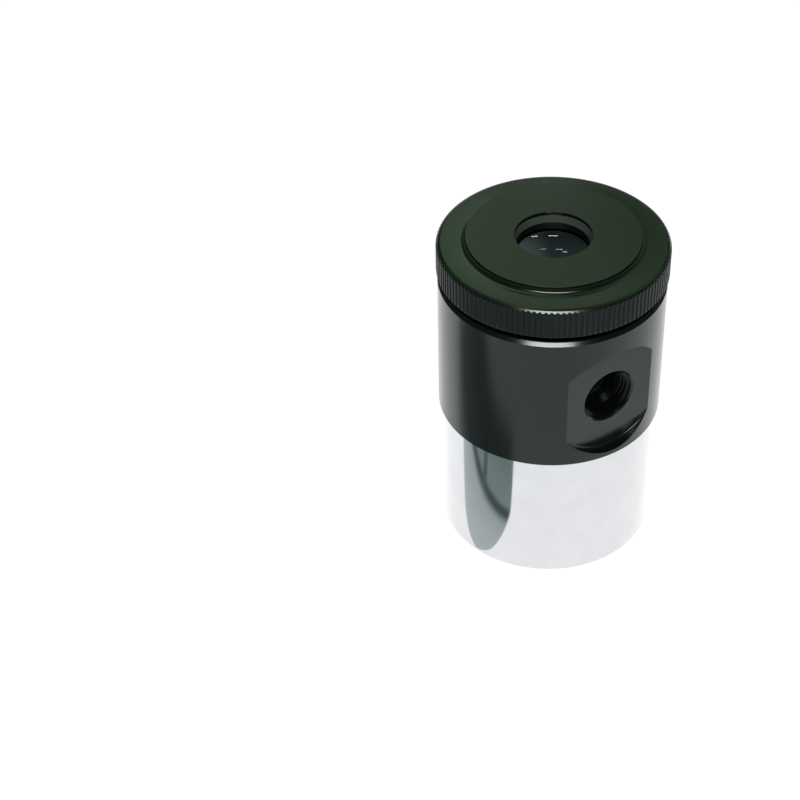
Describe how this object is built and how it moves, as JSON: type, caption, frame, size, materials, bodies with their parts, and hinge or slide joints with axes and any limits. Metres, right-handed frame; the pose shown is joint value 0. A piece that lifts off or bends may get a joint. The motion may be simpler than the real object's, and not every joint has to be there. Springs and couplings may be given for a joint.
{
  "type": "reticle eyepiece",
  "caption": "Telescope eyepiece with a lit measuring reticle: chromed nose barrel, black body with a threaded side port for a lamp, and a knurled eye cap that turns to focus.",
  "frame": {"origin": "centre of the nose barrel's lower face", "axes": "+Z along the optical axis towards the eye, -Y out of the side port"},
  "size_m": [0.0334, 0.0334, 0.0511],
  "materials": {
    "black_anodised_aluminium": "black anodised, satin",
    "chromed_brass": "polished chrome plate on brass",
    "blackened_brass": "matt black oxide",
    "steel": "black oxide",
    "coated_flint_glass": "polished, blue-violet coating",
    "crown_glass": "polished, clear",
    "reticle_glass": "polished, with an etched scale"
  },
  "bodies": {
    "housing": {"main_body": "black_anodised_aluminium", "nose_barrel": "chromed_brass", "reticle_carrier": "blackened_brass", "field_stop": "blackened_brass", "reticle_glass": "reticle_glass", "reticle_retaining_ring": "blackened_brass", "carrier_lock_ring": "blackened_brass", "stop_screw": "steel"},
    "lens_stack": {"eye_flint_lens": "coated_flint_glass", "eye_crown_lens": "crown_glass", "lens_spacer": "blackened_brass", "field_crown_lens": "crown_glass", "field_flint_lens": "coated_flint_glass"},
    "eye_cap": {"eye_cap": "black_anodised_aluminium", "lens_cell": "black_anodised_aluminium", "lens_retaining_ring": "blackened_brass"}
  },
  "joints": [
    {"name": "focus_travel", "type": "slide", "parent": "housing", "child": "lens_stack", "axis": [0, 0, 1], "range_m": [-0.00075, 0.00075]},
    {"name": "focus_turn", "type": "hinge", "parent": "lens_stack", "child": "eye_cap", "pos_m": [0, 0, 0.04], "axis": [0, 0, 1], "range_deg": [-360, 360]}
  ],
  "couplings": [
    {"joint": "focus_travel", "follows": "focus_turn", "m_per_rad": 0.00011937}
  ]
}
